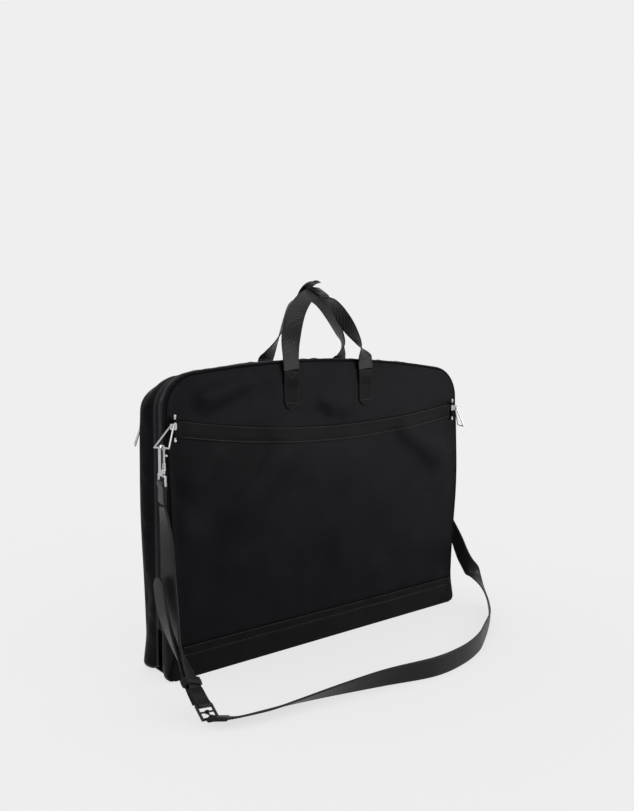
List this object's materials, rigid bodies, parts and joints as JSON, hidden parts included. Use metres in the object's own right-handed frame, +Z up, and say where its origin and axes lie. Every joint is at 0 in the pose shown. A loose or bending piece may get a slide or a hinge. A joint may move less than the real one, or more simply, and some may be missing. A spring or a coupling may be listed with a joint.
{
  "type": "portfolio case",
  "caption": "Soft black portfolio case of two padded leaves that open from a bottom spine, with webbing handles, ring fittings, snap hooks and a long shoulder strap.",
  "frame": {"origin": "centre of the case's bottom, on the surface it stands on, in the plane where the two leaves meet", "axes": "+Z up, +X to the right across the front face, -Y out of the front face"},
  "size_m": [0.6523, 0.3221, 0.5656],
  "materials": {
    "nylon": "matte woven nylon with a faint sheen",
    "leather": "black pebbled leather",
    "strap_leather": "smooth black satin leather",
    "webbing": "satin twill webbing",
    "lining": "cloth-covered stiff board",
    "nickel": "polished nickel",
    "dark_metal": "gunmetal"
  },
  "bodies": {
    "base": {"spine_board": "leather", "short_strap": "strap_leather", "strap_tail": "strap_leather", "long_strap": "strap_leather", "strap_keeper": "strap_leather", "buckle_frame": "dark_metal", "buckle_bar": "dark_metal"},
    "front_leaf": {"front_panel": "nylon", "front_gusset": "nylon", "front_piping": "leather", "front_zip_tape": "nylon", "front_board": "lining", "front_pocket_panel": "nylon", "front_trim_band": "leather", "front_foot_band": "leather", "front_corner_straps": "webbing", "front_tab_left": "leather", "front_tab_right": "leather", "front_pins": "nickel"},
    "back_leaf": {"back_panel": "nylon", "back_gusset": "nylon", "back_piping": "leather", "back_zip_tape": "nylon", "back_board": "lining", "back_pocket_panel": "nylon", "back_trim_band": "leather", "back_foot_band": "leather", "back_sheet_pocket": "lining", "back_tab_left": "leather", "back_tab_right": "leather", "back_pins": "nickel"},
    "front_handle": {"front_handle": "webbing", "handle_keeper": "strap_leather", "keeper_stud": "dark_metal"},
    "back_handle": {"back_handle": "webbing"},
    "keeper_flap": {"keeper_flap": "strap_leather", "keeper_snap": "dark_metal"},
    "zip_slider": {"zip_slider": "dark_metal"},
    "zip_puller": {"zip_puller": "nickel"},
    "buckle_prong": {"buckle_prong": "dark_metal"},
    "front_left_lug": {"front_left_lug": "nickel"},
    "front_left_ring": {"front_left_ring": "nickel"},
    "front_right_lug": {"front_right_lug": "nickel"},
    "front_right_ring": {"front_right_ring": "nickel"},
    "back_left_lug": {"back_left_lug": "nickel"},
    "back_left_ring": {"back_left_ring": "nickel"},
    "back_right_lug": {"back_right_lug": "nickel"},
    "back_right_ring": {"back_right_ring": "nickel"},
    "left_hook": {"left_hook": "nickel"},
    "left_hook_bolt": {"left_hook_bolt": "nickel"},
    "left_swivel": {"left_swivel": "nickel", "left_strap_end": "strap_leather"},
    "right_hook": {"right_hook": "nickel"},
    "right_hook_bolt": {"right_hook_bolt": "nickel"},
    "right_swivel": {"right_swivel": "nickel", "right_strap_end": "strap_leather"}
  },
  "joints": [
    {"name": "front_leaf_fold", "type": "hinge", "parent": "base", "child": "front_leaf", "pos_m": [0, -0.0375, 0.003], "axis": [1, 0, 0], "range_deg": [0, 55]},
    {"name": "back_leaf_fold", "type": "hinge", "parent": "base", "child": "back_leaf", "pos_m": [0, 0.0375, 0.003], "axis": [-1, 0, 0], "range_deg": [0, 85]},
    {"name": "front_handle_swing", "type": "hinge", "parent": "front_leaf", "child": "front_handle", "pos_m": [0, -0.0395, 0.427], "axis": [1, 0, 0], "range_deg": [0, 120]},
    {"name": "back_handle_swing", "type": "hinge", "parent": "back_leaf", "child": "back_handle", "pos_m": [0, 0.0395, 0.427], "axis": [-1, 0, 0], "range_deg": [0, 120]},
    {"name": "keeper_flap_lift", "type": "hinge", "parent": "back_handle", "child": "keeper_flap", "pos_m": [0, 0.02594, 0.54225], "axis": [-1, 0, 0], "range_deg": [0, 110]},
    {"name": "zip_slide", "type": "slide", "parent": "front_leaf", "child": "zip_slider", "axis": [0, 0, 1], "range_m": [0, 0.24]},
    {"name": "zip_puller_swing", "type": "hinge", "parent": "zip_slider", "child": "zip_puller", "pos_m": [0.2871, 0, 0.09552], "axis": [0, -1, 0], "range_deg": [0, 170]},
    {"name": "front_left_lug_turn", "type": "hinge", "parent": "front_leaf", "child": "front_left_lug", "pos_m": [-0.277, -0.0409, 0.354], "axis": [0, 0, 1], "range_deg": [0, 60]},
    {"name": "front_left_ring_swing", "type": "hinge", "parent": "front_left_lug", "child": "front_left_ring", "pos_m": [-0.2834, -0.04375, 0.354], "axis": [-0.4067, 0.9135, 0], "range_deg": [-3, 60]},
    {"name": "left_hook_swing", "type": "hinge", "parent": "front_left_ring", "child": "left_hook", "pos_m": [-0.30336, -0.05264, 0.32795], "axis": [-0.4067, 0.9135, 0], "range_deg": [-4, 60]},
    {"name": "left_bolt_slide", "type": "slide", "parent": "left_hook", "child": "left_hook_bolt", "axis": [0, 0, -1], "range_m": [0, 0.006], "stiffness_N_per_m": 150, "springref_m": -0.002},
    {"name": "left_swivel_turn", "type": "hinge", "parent": "left_hook", "child": "left_swivel", "pos_m": [-0.30336, -0.05264, 0.32795], "axis": [0, 0, 1], "range_deg": [-90, 90]},
    {"name": "front_right_lug_turn", "type": "hinge", "parent": "front_leaf", "child": "front_right_lug", "pos_m": [0.277, -0.0409, 0.354], "axis": [0, 0, -1], "range_deg": [0, 60]},
    {"name": "front_right_ring_swing", "type": "hinge", "parent": "front_right_lug", "child": "front_right_ring", "pos_m": [0.2834, -0.04375, 0.354], "axis": [-0.4067, -0.9135, 0], "range_deg": [0, 80]},
    {"name": "back_left_lug_turn", "type": "hinge", "parent": "back_leaf", "child": "back_left_lug", "pos_m": [-0.277, 0.0409, 0.354], "axis": [0, 0, -1], "range_deg": [0, 60]},
    {"name": "back_left_ring_swing", "type": "hinge", "parent": "back_left_lug", "child": "back_left_ring", "pos_m": [-0.2834, 0.04375, 0.354], "axis": [0.4067, 0.9135, 0], "range_deg": [0, 80]},
    {"name": "back_right_lug_turn", "type": "hinge", "parent": "back_leaf", "child": "back_right_lug", "pos_m": [0.277, 0.0409, 0.354], "axis": [0, 0, 1], "range_deg": [0, 60]},
    {"name": "back_right_ring_swing", "type": "hinge", "parent": "back_right_lug", "child": "back_right_ring", "pos_m": [0.2834, 0.04375, 0.354], "axis": [0.4067, -0.9135, 0], "range_deg": [-3, 60]},
    {"name": "right_hook_swing", "type": "hinge", "parent": "back_right_ring", "child": "right_hook", "pos_m": [0.30336, 0.05264, 0.32795], "axis": [0.4067, -0.9135, 0], "range_deg": [-4, 60]},
    {"name": "right_bolt_slide", "type": "slide", "parent": "right_hook", "child": "right_hook_bolt", "axis": [0, 0, -1], "range_m": [0, 0.006], "stiffness_N_per_m": 150, "springref_m": -0.002},
    {"name": "right_swivel_turn", "type": "hinge", "parent": "right_hook", "child": "right_swivel", "pos_m": [0.30336, 0.05264, 0.32795], "axis": [0, 0, 1], "range_deg": [-90, 90]},
    {"name": "prong_lift", "type": "hinge", "parent": "base", "child": "buckle_prong", "pos_m": [-0.307, -0.1685, 0.0136], "axis": [-0.8673, -0.4019, 0.2937], "range_deg": [0, 110]}
  ]
}
